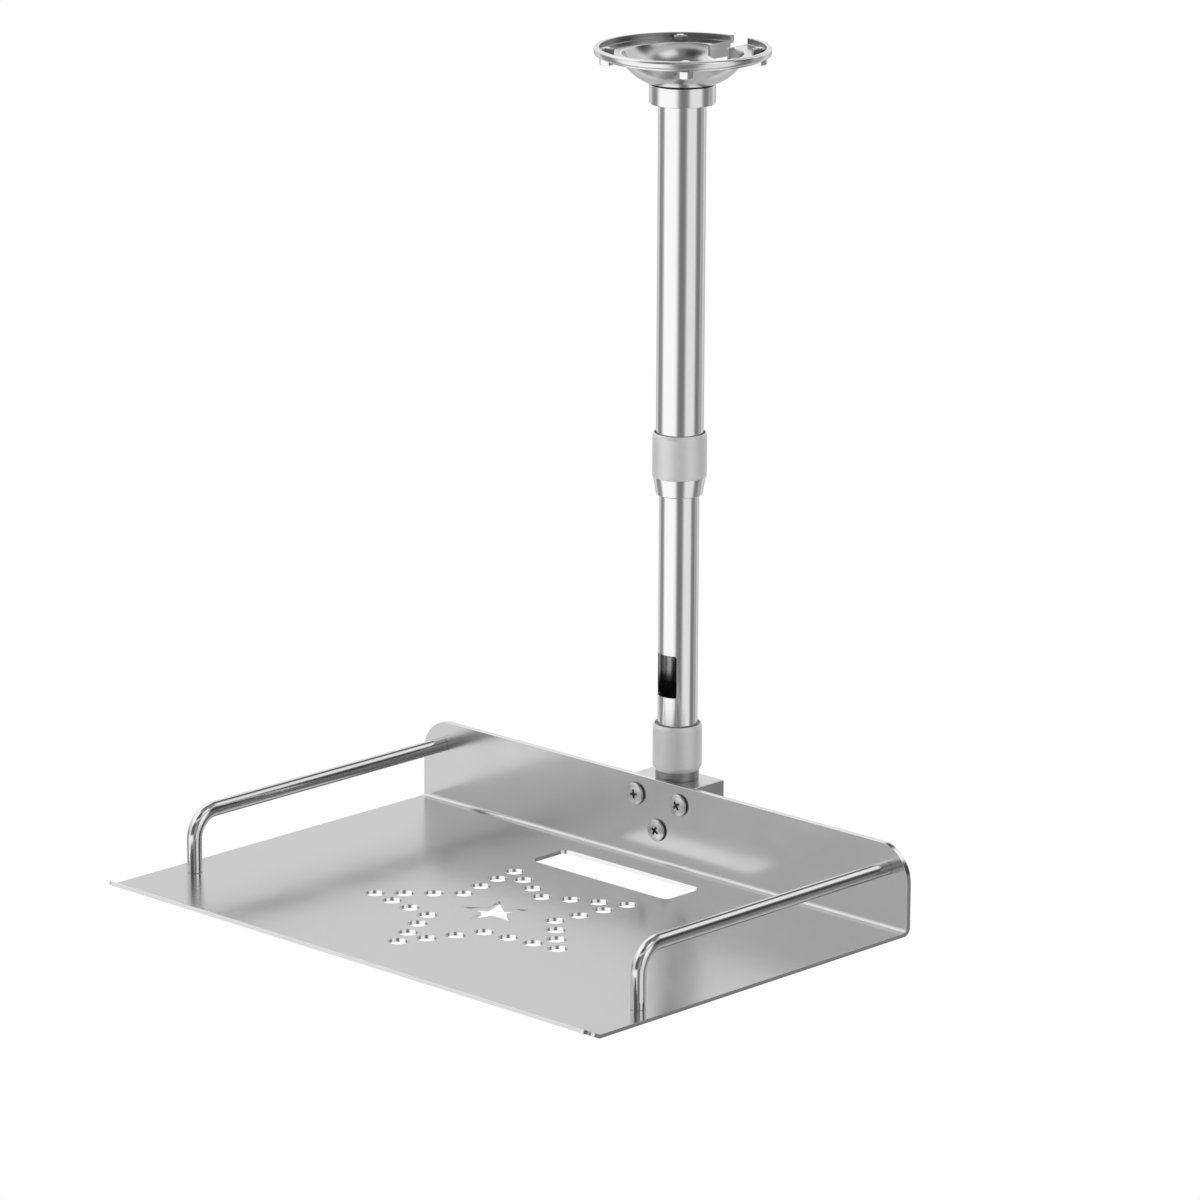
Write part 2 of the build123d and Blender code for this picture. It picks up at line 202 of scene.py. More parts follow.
joins.new(either.outputs[0], mixer.inputs["Fac"])
joins.new(coat["Principled BSDF"].outputs[0], mixer.inputs[1])
joins.new(glow.outputs[0], mixer.inputs[2])
joins.new(mixer.outputs[0], coat["Material Output"].inputs["Surface"])
floor_mesh.materials.append(paint)

# Ceiling plate
# A dish spun from satin stainless, with a raised rim, a recessed floor and a round bowl
# that stands on the collar. A notch with a folded cheek at each side lets the cable in.
plate_low, plate_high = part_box("ceiling_plate")
plate_radius = plate_high.x
rim_width = 3.0 * mm
rim_inner = plate_radius - rim_width
rim_foot = -4.0 * mm
rim_step = 1.0 * mm
rim_slope = 0.4 * mm
plate_floor = -3.2 * mm
plate_under = -5.5 * mm
bowl_radius = 32.3 * mm
bowl_foot_radius = 15.2 * mm
bowl_curve = 26.5 * mm
bowl_wall = 1.7 * mm
bowl_foot = plate_low.z
bowl_steps = 28
tube_bore = 12.55 * mm
notch_half = 6.0 * mm
notch_inner = 27.0 * mm
notch_depth = 11.0 * mm
cheek_thick = 1.5 * mm
cheek_ease = 0.3 * mm
cheek_overlap = 0.01 * mm
cheek_rise = 0.1 * mm
turning_slices = 192
sharp_corner = 35


def eased(line, ease, steps=4):
    """A closed line whose corners are rounded off. ease is one reach, or one for each corner."""
    reach = ease if isinstance(ease, (list, tuple)) else [ease] * len(line)
    most_of_side = 0.45
    points = []
    for index, corner in enumerate(line):
        here = Vector(corner)
        before = Vector(line[index - 1]) - here
        after = Vector(line[(index + 1) % len(line)]) - here
        back = min(reach[index], before.length * most_of_side, after.length * most_of_side)
        if back <= 0:
            points.append(tuple(here))
            continue
        start = here + before.normalized() * back
        end = here + after.normalized() * back
        for step in range(steps + 1):
            k = step / steps
            points.append(tuple(start * (1 - k) ** 2 + here * (2 * k * (1 - k)) + end * k**2))
    return points


def arc(centre, radius, start, end, steps):
    """Points on a round stretch, from one angle to another, in radians."""
    turns = [start + (end - start) * step / steps for step in range(steps + 1)]
    return [(centre[0] + radius * cos(t), centre[1] + radius * sin(t)) for t in turns]


def piece_from(shape, name, sharp=sharp_corner):
    """A piece from a finished mesh, smooth over its rounds and flat on its faces."""
    bmesh.ops.recalc_face_normals(shape, faces=shape.faces)
    mesh = bpy.data.meshes.new(name)
    shape.to_mesh(mesh)
    shape.free()
    mesh.shade_smooth()
    mesh.set_sharp_from_angle(angle=radians(sharp))
    piece = bpy.data.objects.new(name, mesh)
    bpy.context.collection.objects.link(piece)
    return piece


def weigh_normals(piece):
    """Flat faces stay flat up to their rounded edges."""
    weight = piece.modifiers.new("even_shading", "WEIGHTED_NORMAL")
    weight.keep_sharp = True
    weight.weight = 100


def turn_section(shape, section, slices=turning_slices):
    """Spins a closed section of (radius, height) points round the Z axis."""
    rings = []
    for slice_number in range(slices):
        turn = 2 * pi * slice_number / slices
        rings.append([shape.verts.new((r * cos(turn), r * sin(turn), z)) for r, z in section])
    for ring, next_ring in zip(rings, rings[1:] + rings[:1]):
        for k in range(len(section)):
            after = (k + 1) % len(section)
            shape.faces.new((ring[k], next_ring[k], next_ring[after], ring[after]))
    return shape


def turned(name, section):
    """A turned piece, spun from a closed section."""
    piece = piece_from(turn_section(bmesh.new(), section), name)
    weigh_normals(piece)
    return piece


def slab(shape, low, high, ease=0.0):
    """A block between two corners, with its edges eased."""
    made = bmesh.ops.create_cube(shape, size=1)
    size = Vector(high) - Vector(low)
    bmesh.ops.scale(shape, verts=made["verts"], vec=size)
    bmesh.ops.translate(shape, verts=made["verts"], vec=(Vector(high) + Vector(low)) / 2)
    if ease:
        edges = list({edge for vert in made["verts"] for edge in vert.link_edges})
        bmesh.ops.bevel(shape, geom=edges, offset=ease, segments=3, profile=0.5, affect="EDGES")


def cut(piece, shape):
    """Takes a shape away from a piece for good."""
    tool = piece_from(shape, "tool")
    trim = piece.modifiers.new("trim", "BOOLEAN")
    trim.operation = "DIFFERENCE"
    trim.solver = "EXACT"
    trim.object = tool
    others = [m for m in piece.modifiers if m != trim]
    for other in others:
        other.show_viewport = False
    graph = bpy.context.evaluated_depsgraph_get()
    whole = piece.data
    piece.data = bpy.data.meshes.new_from_object(piece.evaluated_get(graph))
    piece.data.name = whole.name
    piece.modifiers.remove(trim)
    for other in others:
        other.show_viewport = True
    bpy.data.objects.remove(tool)
    bpy.data.meshes.remove(whole)
    piece.data.shade_smooth()
    piece.data.set_sharp_from_angle(angle=radians(sharp_corner))


def bare_metal(name, tone, gloss, grain_size, stretch, grain_height, drift=0.04, patchy=0.18):
    """Bare metal: its tone drifts a little, wiping marks break its gloss, fine grain lies in it."""
    cloud_scale = 22
    cloud_span = (0.3, 0.7)
    both_span = ((0.6, 0.6, 0.6), (1.4, 1.4, 1.4))
    material = bpy.data.materials.new(name)
    material.use_nodes = True
    nodes, links = material.node_tree.nodes, material.node_tree.links
    shader = nodes["Principled BSDF"]
    shader.inputs["Metallic"].default_value = 1.0
    place = nodes.new("ShaderNodeTexCoord")
    drawn = nodes.new("ShaderNodeMapping")
    drawn.inputs["Scale"].default_value = stretch
    links.new(place.outputs["Object"], drawn.inputs["Vector"])
    grain = nodes.new("ShaderNodeTexNoise")
    grain.inputs["Scale"].default_value = 1 / grain_size
    grain.inputs["Detail"].default_value = 3
    links.new(drawn.outputs["Vector"], grain.inputs["Vector"])
    cloud = nodes.new("ShaderNodeTexNoise")
    cloud.inputs["Scale"].default_value = cloud_scale
    cloud.inputs["Detail"].default_value = 4
    links.new(place.outputs["Object"], cloud.inputs["Vector"])
    both = nodes.new("ShaderNodeMath")
    both.operation = "ADD"
    links.new(grain.outputs["Fac"], both.inputs[0])
    links.new(cloud.outputs["Fac"], both.inputs[1])
    tint = nodes.new("ShaderNodeMapRange")
    tint.data_type = "FLOAT_VECTOR"
    source, from_low, from_high, to_low, to_high = tint.inputs[6:11]
    from_low.default_value, from_high.default_value = both_span
    to_low.default_value = [c * (1 - drift) for c in tone]
    to_high.default_value = [c * (1 + drift) for c in tone]
    links.new(both.outputs[0], source)
    links.new(tint.outputs["Vector"], shader.inputs["Base Color"])
    wiped = nodes.new("ShaderNodeMapRange")
    wiped.inputs["From Min"].default_value, wiped.inputs["From Max"].default_value = cloud_span
    wiped.inputs["To Min"].default_value = gloss * (1 - patchy)
    wiped.inputs["To Max"].default_value = gloss * (1 + patchy)
    links.new(cloud.outputs["Fac"], wiped.inputs["Value"])
    links.new(wiped.outputs["Result"], shader.inputs["Roughness"])
    bump = nodes.new("ShaderNodeBump")
    bump.inputs["Strength"].default_value = 1.0
    bump.inputs["Distance"].default_value = grain_height
    links.new(grain.outputs["Fac"], bump.inputs["Height"])
    links.new(bump.outputs["Normal"], shader.inputs["Normal"])
    return material


def finish(piece, material, body, slot, *nodes):
    """Puts the finish on a piece, ties it to its body and hides the solids that it stands for."""
    piece.data.materials.clear()
    piece.data.materials.append(material)
    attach(piece, body)
    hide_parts(*nodes)


spun_steel = bare_metal(
    "spun_steel", tone=(0.76, 0.76, 0.765), gloss=0.17, grain_size=0.35 * mm,
    stretch=(0.3, 0.3, 1.0), grain_height=0.004 * mm,
)
# Painted shade: a dark material for the inner wall of the rim, where the dish lies in shadow.
painted_rim_shade = bare_metal(
    "painted_rim_shade", tone=(0.30, 0.30, 0.30), gloss=0.30, grain_size=0.35 * mm,
    stretch=(1, 1, 1), grain_height=0.01 * mm, drift=0.10,
)
folded_steel = bare_metal(
    "folded_steel", tone=(0.86, 0.86, 0.86), gloss=0.42, grain_size=0.35 * mm,
    stretch=(1, 1, 1), grain_height=0.006 * mm,
)
bowl_steel = bare_metal(
    "bowl_steel", tone=(0.60, 0.60, 0.605), gloss=0.18, grain_size=0.35 * mm,
    stretch=(0.3, 0.3, 1.0), grain_height=0.004 * mm,
)
bowl_run = bowl_radius - bowl_foot_radius
bowl_drop = plate_under - bowl_foot
chord = hypot(bowl_run, bowl_drop)
centre_reach = sqrt(bowl_curve**2 - chord**2 / 4)
curve_centre = (bowl_radius + bowl_foot_radius) / 2 - centre_reach * bowl_drop / chord
curve_level = (plate_under + bowl_foot) / 2 + centre_reach * bowl_run / chord
inner_curve = bowl_curve - bowl_wall
lip_radius = curve_centre + sqrt(inner_curve**2 - (curve_level - plate_floor) ** 2)
bore_joint = curve_level - sqrt(inner_curve**2 - (tube_bore - curve_centre) ** 2)


def bowl_angle(radius, height):
    """Angle of a point of the bowl, seen from the centre of its round."""
    return atan2(height - curve_level, radius - curve_centre)


outside = arc(
    (curve_centre, curve_level), bowl_curve, bowl_angle(bowl_radius, plate_under),
    bowl_angle(bowl_foot_radius, bowl_foot), bowl_steps,
)
inside = arc(
    (curve_centre, curve_level), inner_curve, bowl_angle(tube_bore, bore_joint),
    bowl_angle(lip_radius, plate_floor), bowl_steps,
)
rim_line = [
    (rim_inner, plate_floor),
    (rim_inner, 0),
    (plate_radius, 0),
    (plate_radius, rim_foot),
    (rim_inner - rim_step, rim_foot - rim_slope),
    (rim_inner - rim_step, plate_under),
]
rim_ease = [0.5 * mm, 0.5 * mm, 1.3 * mm, 1.6 * mm, 0, 0.4 * mm]
plate_line = outside + [(tube_bore, bowl_foot)] + inside + rim_line
plate_ease = [0] * (len(outside) + 1) + [0] * (len(inside) - 1) + [0.9 * mm] + rim_ease
ceiling_plate = turned("ceiling_dish", eased(plate_line, plate_ease))
notch = bmesh.new()
clear = 5 * mm
slab(notch, (-notch_half, notch_inner, -notch_depth), (notch_half, plate_radius + clear, clear))
cut(ceiling_plate, notch)
cheeks = bmesh.new()
cheeks.from_mesh(ceiling_plate.data)
for side in (-1, 1):
    near, far = sorted((side * (notch_half - cheek_overlap), side * (notch_half + cheek_thick)))
    cheek_head = (far, rim_inner, plate_floor + cheek_rise)
    slab(cheeks, (near, notch_inner, -notch_depth), cheek_head, cheek_ease)
cheeks.to_mesh(ceiling_plate.data)
cheeks.free()
finish(ceiling_plate, spun_steel, "upper_pole", "satin_steel", "ceiling_plate")
for other_finish in (painted_rim_shade, folded_steel, bowl_steel):
    ceiling_plate.data.materials.append(other_finish)
rim_wall_shade, cheek, bowl_inside = 1, 2, 3
facing_up = 0.05
for face in ceiling_plate.data.polygons:
    middle = face.center
    across = hypot(middle.x, middle.y)
    if across < lip_radius and middle.z < plate_floor - 0.3 * mm and face.normal.z > facing_up:
        face.material_index = bowl_inside
    # The inner wall of the rim takes the painted shade.
    if rim_inner - 0.2 * mm < across < rim_inner + 0.3 * mm and plate_floor < middle.z < 0:
        face.material_index = rim_wall_shade
    beside_notch = abs(middle.x) < notch_half + cheek_thick and middle.y > notch_inner - mm
    if beside_notch and across < rim_inner and middle.z < plate_floor:
        face.material_index = cheek

# Ceiling bolts and nuts
# Four bright stainless bolts, heads under the plate's floor with chamfered corners, and
# a thin nut over each inside the dish. Their threads are rolled.
corners = ["back_right", "back_left", "front_left", "front_right"]
hexagon_samples = 48
head_flats = 7.0 * mm
chamfer_slope = tan(radians(30))
crisp_edge = 25
bolt_radius = 2.0 * mm
bolt_buried = 0.5 * mm
close_play = 0.05 * mm
thread_pitch = 0.7 * mm
thread_depth = 0.35 * mm
head_turn = radians(-2)
bright_steel = bare_metal(
    "bright_steel", tone=(0.88, 0.88, 0.88), gloss=0.22, grain_size=0.3 * mm,
    stretch=(1, 1, 1), grain_height=0.003 * mm,
)
dull_nut_steel = bare_metal(
    "dull_nut_steel", tone=(0.42, 0.42, 0.42), gloss=0.35, grain_size=0.3 * mm,
    stretch=(1, 1, 1), grain_height=0.008 * mm,
)


def join_rings(shape, rings):
    """Faces from each ring of points to the next."""
    for ring, next_ring in zip(rings, rings[1:]):
        for k in range(len(ring)):
            after = (k + 1) % len(ring)
            shape.faces.new((ring[k], ring[after], next_ring[after], next_ring[k]))


def hexagon(shape, flats, low, high, bore=0.0, chamfers=("low", "high"), ease=0.12 * mm):
    """A hexagon prism round the Z axis with its corners turned off, solid or with a bore."""
    rows = []
    round_part = flats / 2 * 0.97
    least_fall = 0.02 * mm
    for level, name, inward in ((low, "low", 1), (high, "high", -1)):
        face, edge = [], []
        for sample in range(hexagon_samples):
            turn = 2 * pi * sample / hexagon_samples
            within = (turn + pi / 6) % (pi / 3) - pi / 6
            reach = flats / 2 / cos(within)
            fall = max(reach - round_part, 0) * chamfer_slope if name in chamfers else ease
            face.append((min(round_part, reach - ease), turn, level))
            edge.append((reach, turn, level + inward * max(fall, least_fall)))
        rows += [face, edge] if name == "low" else [edge, face]
    rings = []
    for row in rows:
        rings.append([shape.verts.new((r * cos(t), r * sin(t), z)) for r, t, z in row])
    if bore:
        for level in (high, low):
            turns = [2 * pi * sample / hexagon_samples for sample in range(hexagon_samples)]
            rings.append([shape.verts.new((bore * cos(t), bore * sin(t), level)) for t in turns])
        rings.append(rings[0])
    join_rings(shape, rings)
    if not bore:
        shape.faces.new(list(reversed(rings[0])))
        shape.faces.new(rings[-1])


def threaded_shank(shape, radius, low, high, samples=32):
    """A rolled thread as grooves, with a short lead at its end."""
    levels, z = [], low
    while z < high - thread_pitch:
        levels += [(radius, z), (radius - thread_depth, z + thread_pitch / 2)]
        z += thread_pitch
    levels += [(radius, z), (radius - thread_depth, high)]
    rings = []
    for r, level in levels:
        turns = [2 * pi * k / samples for k in range(samples)]
        rings.append([shape.verts.new((r * cos(t), r * sin(t), level)) for t in turns])
    join_rings(shape, rings)
    shape.faces.new(list(reversed(rings[0])))
    shape.faces.new(rings[-1])


for corner in corners:
    bolt_low, bolt_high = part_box("ceiling_bolt_" + corner)
    nut_low, nut_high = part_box("ceiling_nut_" + corner)
    centre = (bolt_low + bolt_high) / 2
    place = Matrix.Translation((centre.x, centre.y, 0)) @ Matrix.Rotation(head_turn, 4, "Z")
    head = bmesh.new()
    hexagon(head, head_flats, bolt_low.z, plate_under, chamfers=("low",))
    threaded_shank(head, bolt_radius, plate_under - bolt_buried, bolt_high.z)
    head.transform(place)
    bolt = piece_from(head, "hex_bolt_" + corner, crisp_edge)
    finish(bolt, bright_steel, "upper_pole", "screw_steel", "ceiling_bolt_" + corner)
    ring = bmesh.new()
    hexagon(ring, head_flats, nut_low.z, nut_high.z, bolt_radius + close_play, chamfers=("high",))
    ring.transform(place)
    nut = piece_from(ring, "hex_nut_" + corner, crisp_edge)
    finish(nut, dull_nut_steel, "upper_pole", "screw_steel", "ceiling_nut_" + corner)

# Collar
# A plain stainless ring under the bowl that carries the upper tube, turned and polished
# all over, with its edges broken.
polished_steel = bare_metal(
    "polished_steel", tone=(0.82, 0.82, 0.825), gloss=0.13, grain_size=0.5 * mm,
    stretch=(0.25, 0.25, 1.0), grain_height=0.0016 * mm, drift=0.02,
)
collar_low, collar_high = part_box("pole_collar")
collar_line = [
    (tube_bore, collar_low.z),
    (collar_high.x, collar_low.z),
    (collar_high.x, collar_high.z),
    (tube_bore, collar_high.z),
]
pole_collar = turned("tube_collar", eased(collar_line, [0.1 * mm, 0.6 * mm, 0.25 * mm, 0.1 * mm]))
finish(pole_collar, polished_steel, "upper_pole", "polished_steel", "pole_collar")

# Upper tube
# Polished welded stainless tube, fixed in the collar, with its ends broken. Its bore is
# painted dark as shade.
# Painted shade for the inside of the upper tube.
painted_bore_shade = bare_metal(
    "painted_bore_shade", tone=(0.10, 0.10, 0.10), gloss=0.55, grain_size=0.6 * mm,
    stretch=(1, 1, 1), grain_height=0.01 * mm,
)
upper_low, upper_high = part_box("upper_tube")
upper_wall = 1.5 * mm


def tube(name, radius, wall, low, high, ease=0.3 * mm):
    """A turned tube with its ends broken."""
    inner = radius - wall
    return turned(name, eased([(inner, low), (radius, low), (radius, high), (inner, high)], ease))


def darken_bore(piece, radius, wall, inside):
    """Gives the faces of a tube's bore their own duller material; in the upper tube it is painted
    shade.
    """
    piece.data.materials.append(inside)
    bore_reach = radius - wall * 0.6
    for face in piece.data.polygons:
        ends = [piece.data.vertices[v].co for v in face.vertices]
        middle = sum(ends, Vector()) / len(ends)
        if hypot(middle.x, middle.y) < bore_reach:
            face.material_index = 1


upper_tube = tube("upper_pole_tube", upper_high.x, upper_wall, upper_low.z, upper_high.z)
finish(upper_tube, polished_steel, "upper_pole", "polished_steel", "upper_tube")
darken_bore(upper_tube, upper_high.x, upper_wall, painted_bore_shade)

# Lock nut
# A stainless grip sleeve, turned and then blasted with glass beads, with a shallow cup
# round the tube at its top. Turning it locks the lower tube.
blasted_steel = bare_metal(
    "blasted_steel", tone=(0.90, 0.90, 0.90), gloss=0.60, grain_size=0.30 * mm,
    stretch=(1, 1, 1), grain_height=0.03 * mm, drift=0.08, patchy=0.06,
)
cup_wall = 0.9 * mm
nut_bevel = 0.7 * mm
nut_bevel_height = 1.8 * mm
lock_low, lock_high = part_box("lock_nut")
lock_cup = 3.0 * mm
lock_line = [
    (tube_bore, lock_low.z),
    (lock_high.x, lock_low.z),
    (lock_high.x, lock_high.z - nut_bevel_height),
    (lock_high.x - nut_bevel, lock_high.z),
    (lock_high.x - cup_wall, lock_high.z),
    (lock_high.x - cup_wall, lock_high.z - lock_cup),
    (tube_bore, lock_high.z - lock_cup),
]
lock_ease = [0.1 * mm, 0.4 * mm, 0.7 * mm, 0.1 * mm, 0.1 * mm, 0.2 * mm, 0.1 * mm]
lock_nut = turned("upper_grip_nut", eased(lock_line, lock_ease))
finish(lock_nut, blasted_steel, "lock_nut", "blasted_steel", "lock_nut")

# Lock cone
# The polished nose in the foot of the nut, tapered down to the lower tube, with a
# spigot that reaches up into the nut.
cone_low, cone_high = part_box("lock_cone")
cone_foot_radius = 12.2 * mm
cone_bore = 10.85 * mm
spigot_radius = upper_high.x
cone_line = [
    (cone_bore, cone_low.z),
    (cone_foot_radius, cone_low.z),
    (cone_high.x, lock_low.z),
    (spigot_radius, lock_low.z),
    (spigot_radius, cone_high.z),
    (cone_bore, cone_high.z),
]
cone_ease = [0.2 * mm, 1.1 * mm, 0.3 * mm, 0, 0.2 * mm, 0.2 * mm]
lock_cone = turned("grip_nose", eased(cone_line, cone_ease))
finish(lock_cone, polished_steel, "lock_nut", "polished_steel", "lock_cone")

# Clamp ring
# A split brass ring between the nose and the tube's foot, out of sight, that the nut
# squeezes on the lower tube.
brass = bare_metal(
    "turned_brass", tone=(0.72, 0.60, 0.34), gloss=0.30, grain_size=0.3 * mm,
    stretch=(0.3, 0.3, 1.0), grain_height=0.008 * mm,
)
clamp_low, clamp_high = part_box("clamp_ring")
lower_low, lower_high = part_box("lower_tube")
clamp_bore = lower_high.x + close_play
clamp_ease = 0.3 * mm
slit_half = 0.75 * mm
clamp_line = [
    (clamp_bore, clamp_low.z),
    (clamp_high.x, clamp_low.z),
    (clamp_high.x, clamp_high.z),
    (clamp_bore, clamp_high.z),
]
clamp_ring = turned("split_ring", eased(clamp_line, clamp_ease))
slit = bmesh.new()
slab(slit, (-slit_half, 0, clamp_low.z - mm), (slit_half, clamp_high.x + mm, clamp_high.z + mm))
cut(clamp_ring, slit)
finish(clamp_ring, brass, "lock_nut", "brass_ring", "clamp_ring")

# Lower tube
# The thinner polished tube that slides in the upper one, with a window near its foot
# where the cable comes out.
drawn_inside = bare_metal(
    "drawn_inside", tone=(0.60, 0.60, 0.60), gloss=0.20, grain_size=0.5 * mm,
    stretch=(1, 1, 0.2), grain_height=0.006 * mm,
)
lower_wall = 1.3 * mm
tray_top = -434.2 * mm
window_above_tray = 89.2 * mm
window_height = 23.0 * mm
window_low = tray_top + window_above_tray
window_high = window_low + window_height
window_half = 6.7 * mm
window_turn = radians(-90)
window_round = 1.5 * mm
window_round_steps = 6
near_axis = 0.001 * mm
lower_tube = tube("lower_pole_tube", lower_high.x, lower_wall, lower_low.z, lower_high.z)
opening_line = [
    (-window_half, window_low),
    (window_half, window_low),
    (window_half, window_high),
    (-window_half, window_high),
]
opening = bmesh.new()
near_side, far_side = [], []
for across, height in eased(opening_line, window_round, window_round_steps):
    near_side.append(opening.verts.new((near_axis, across, height)))
    far_side.append(opening.verts.new((lower_high.x * 2, across, height)))
join_rings(opening, [near_side, far_side])
opening.faces.new(near_side)
opening.faces.new(far_side)
opening.transform(Matrix.Rotation(window_turn, 4, "Z"))
cut(lower_tube, opening)
finish(lower_tube, polished_steel, "lower_tube", "polished_steel", "lower_tube")
darken_bore(lower_tube, lower_high.x, lower_wall, drawn_inside)

# Swivel nut
# The lower grip, turned and blasted like the upper one. It clamps the tube in the socket
# and keeps the tray from turning.
swivel_low, swivel_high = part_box("swivel_nut")
socket_low, socket_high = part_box("swivel_socket")
swivel_cup = 2.5 * mm
foot_bevel = 1.2 * mm
foot_bevel_height = 2.0 * mm
loose_play = 0.3 * mm
socket_radius = socket_high.x
swivel_bore = socket_radius + close_play
swivel_mouth = lower_high.x + loose_play
inner_step = socket_high.z + loose_play
swivel_line = [
    (swivel_bore, swivel_low.z),
    (swivel_high.x - foot_bevel, swivel_low.z),
    (swivel_high.x, swivel_low.z + foot_bevel_height),
    (swivel_high.x, swivel_high.z - nut_bevel_height),
    (swivel_high.x - nut_bevel, swivel_high.z),
    (swivel_high.x - cup_wall, swivel_high.z),
    (swivel_high.x - cup_wall, swivel_high.z - swivel_cup),
    (swivel_mouth, swivel_high.z - swivel_cup),
    (swivel_mouth, inner_step),
    (swivel_bore, inner_step),
]
swivel_ease = [0.05 * mm, 0.2 * mm, 0.7 * mm, 0.7 * mm, 0.1 * mm, 0.1 * mm, 0.2 * mm]
swivel_ease += [0.1 * mm] * 3
swivel_nut = turned("lower_grip_nut", eased(swivel_line, swivel_ease))
finish(swivel_nut, blasted_steel, "swivel_nut", "blasted_steel", "swivel_nut")

# Socket
# A turned stainless sleeve, left darker, that stands on the block with its spigot let in
# and takes the lower tube's foot.
turned_steel = bare_metal(
    "turned_steel", tone=(0.36, 0.36, 0.36), gloss=0.45, grain_size=0.35 * mm,
    stretch=(0.15, 0.15, 1.0), grain_height=0.02 * mm, drift=0.07,
)
block_low, block_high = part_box("mount_block")
socket_bore = lower_high.x + close_play
socket_drain = 0.5 * mm
spigot = 8.5 * mm
seat = lower_low.z - loose_play
socket_line = [
    (socket_drain, socket_low.z),
    (spigot, socket_low.z),
    (spigot, block_high.z),
    (socket_radius, block_high.z),
    (socket_radius, socket_high.z),
    (socket_bore, socket_high.z),
    (socket_bore, seat),
    (socket_drain, seat),
]
socket_ease = [0, 0.4 * mm, 0, 0.3 * mm, 0.3 * mm, 0.2 * mm, 0, 0]
swivel_socket = turned("swivel_sleeve", eased(socket_line, socket_ease))
finish(swivel_socket, turned_steel, "tray", "dark_steel", "swivel_socket")

# Mount block
# A solid stainless bar behind the tray's back, milled all over, with broken edges, and
# bored from above for the socket's spigot.
milled_steel = bare_metal(
    "milled_steel", tone=(0.72, 0.72, 0.72), gloss=0.24, grain_size=0.4 * mm,
    stretch=(1.0, 0.3, 1.0), grain_height=0.006 * mm,
)
bar_ease = 0.6 * mm
bar = bmesh.new()
slab(bar, block_low, block_high, bar_ease)
mount_block = piece_from(bar, "back_bar")
weigh_normals(mount_block)
bore = bmesh.new()
bore_radius = spigot + close_play
rings = []
for level in (socket_low.z, block_high.z + mm):
    turns = [2 * pi * k / turning_slices for k in range(turning_slices)]
    circle = [(bore_radius * cos(turn), bore_radius * sin(turn), level) for turn in turns]
    rings.append([bore.verts.new(point) for point in circle])
join_rings(bore, rings)
bore.faces.new(rings[0])
bore.faces.new(rings[1])
cut(mount_block, bore)
finish(mount_block, milled_steel, "tray", "satin_steel", "mount_block")

# Tray
# One satin sheet, cut and pierced flat, its edges polished, then bent: an upturned back
# with rounded corners and a slanted lip at the front.
sheet_steel = bare_metal(
    "sheet_steel", tone=(0.61, 0.61, 0.615), gloss=0.20, grain_size=0.45 * mm,
    stretch=(1, 1, 1), grain_height=0.005 * mm, drift=0.03,
)
edge_steel = bare_metal(
    "edge_steel", tone=(0.80, 0.80, 0.80), gloss=0.10, grain_size=0.4 * mm,
    stretch=(1, 1, 0.3), grain_height=0.002 * mm, drift=0.03,
)
tray_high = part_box("tray")[1]
sheet = 2.0 * mm
back_sheet = 3.0 * mm
edge_ease = 0.12 * mm
edge_finish = 1
half_width = tray_high.x
back_height = 44.6 * mm
back_bend = 2.0 * mm
back_corner = 19.0 * mm
lip_length = 8.0 * mm
lip_angle = radians(25)
lip_bend = 2.0 * mm
lip_corner = 5.0 * mm
back_face = -15.0 * mm
tray_depth = 226.0 * mm
front_bend = back_face - tray_depth
bend_steps = 12
lip_share = lip_bend * tan(lip_angle / 2)
stretches = [
    (lip_length - lip_share, 0),
    (lip_bend * lip_angle, lip_bend),
    (back_face - back_bend - front_bend - lip_share, 0),
    (back_bend * pi / 2, back_bend),
    (back_height - back_bend, 0),
]
blank_length = sum(length for length, radius in stretches)
back_bend_start = sum(length for length, radius in stretches[:3])
flat_start = stretches[0][0] + stretches[1][0]
flat_shift = flat_start - (front_bend + lip_share)


def bent(x, run, depth):
    """Where a point of the flat blank goes when the sheet is bent. depth runs down from the top."""
    y = front_bend - lip_length * cos(lip_angle)
    z = tray_top + lip_length * sin(lip_angle)
    heading = -lip_angle
    bend_part = (run - back_bend_start) / stretches[3][0]
    depth *= 1 + (back_sheet / sheet - 1) * min(max(bend_part, 0), 1)
    for index, (length, radius) in enumerate(stretches):
        last = index == len(stretches) - 1
        part = run if last else min(run, length)
        if radius:
            turn = part / radius
            y += radius * (sin(heading + turn) - sin(heading))
            z += radius * (cos(heading) - cos(heading + turn))
            heading += turn
        else:
            y += part * cos(heading)
            z += part * sin(heading)
        run -= part
        if run <= 0:
            break
    return Vector((x, y + depth * sin(heading), z - depth * cos(heading)))


def inset(loop, distance):
    """A loop moved into the metal, which lies at its left, with its corners kept."""
    moved = []
    for index, point in enumerate(loop):
        here = Vector(point)
        before = (here - Vector(loop[index - 1])).normalized()
        after = (Vector(loop[(index + 1) % len(loop)]) - here).normalized()
        left_before = Vector((-before.y, before.x))
        left_after = Vector((-after.y, after.x))
        miter = (left_before + left_after) / (1 + left_before.dot(left_after))
        moved.append(here + miter * distance)
    return moved


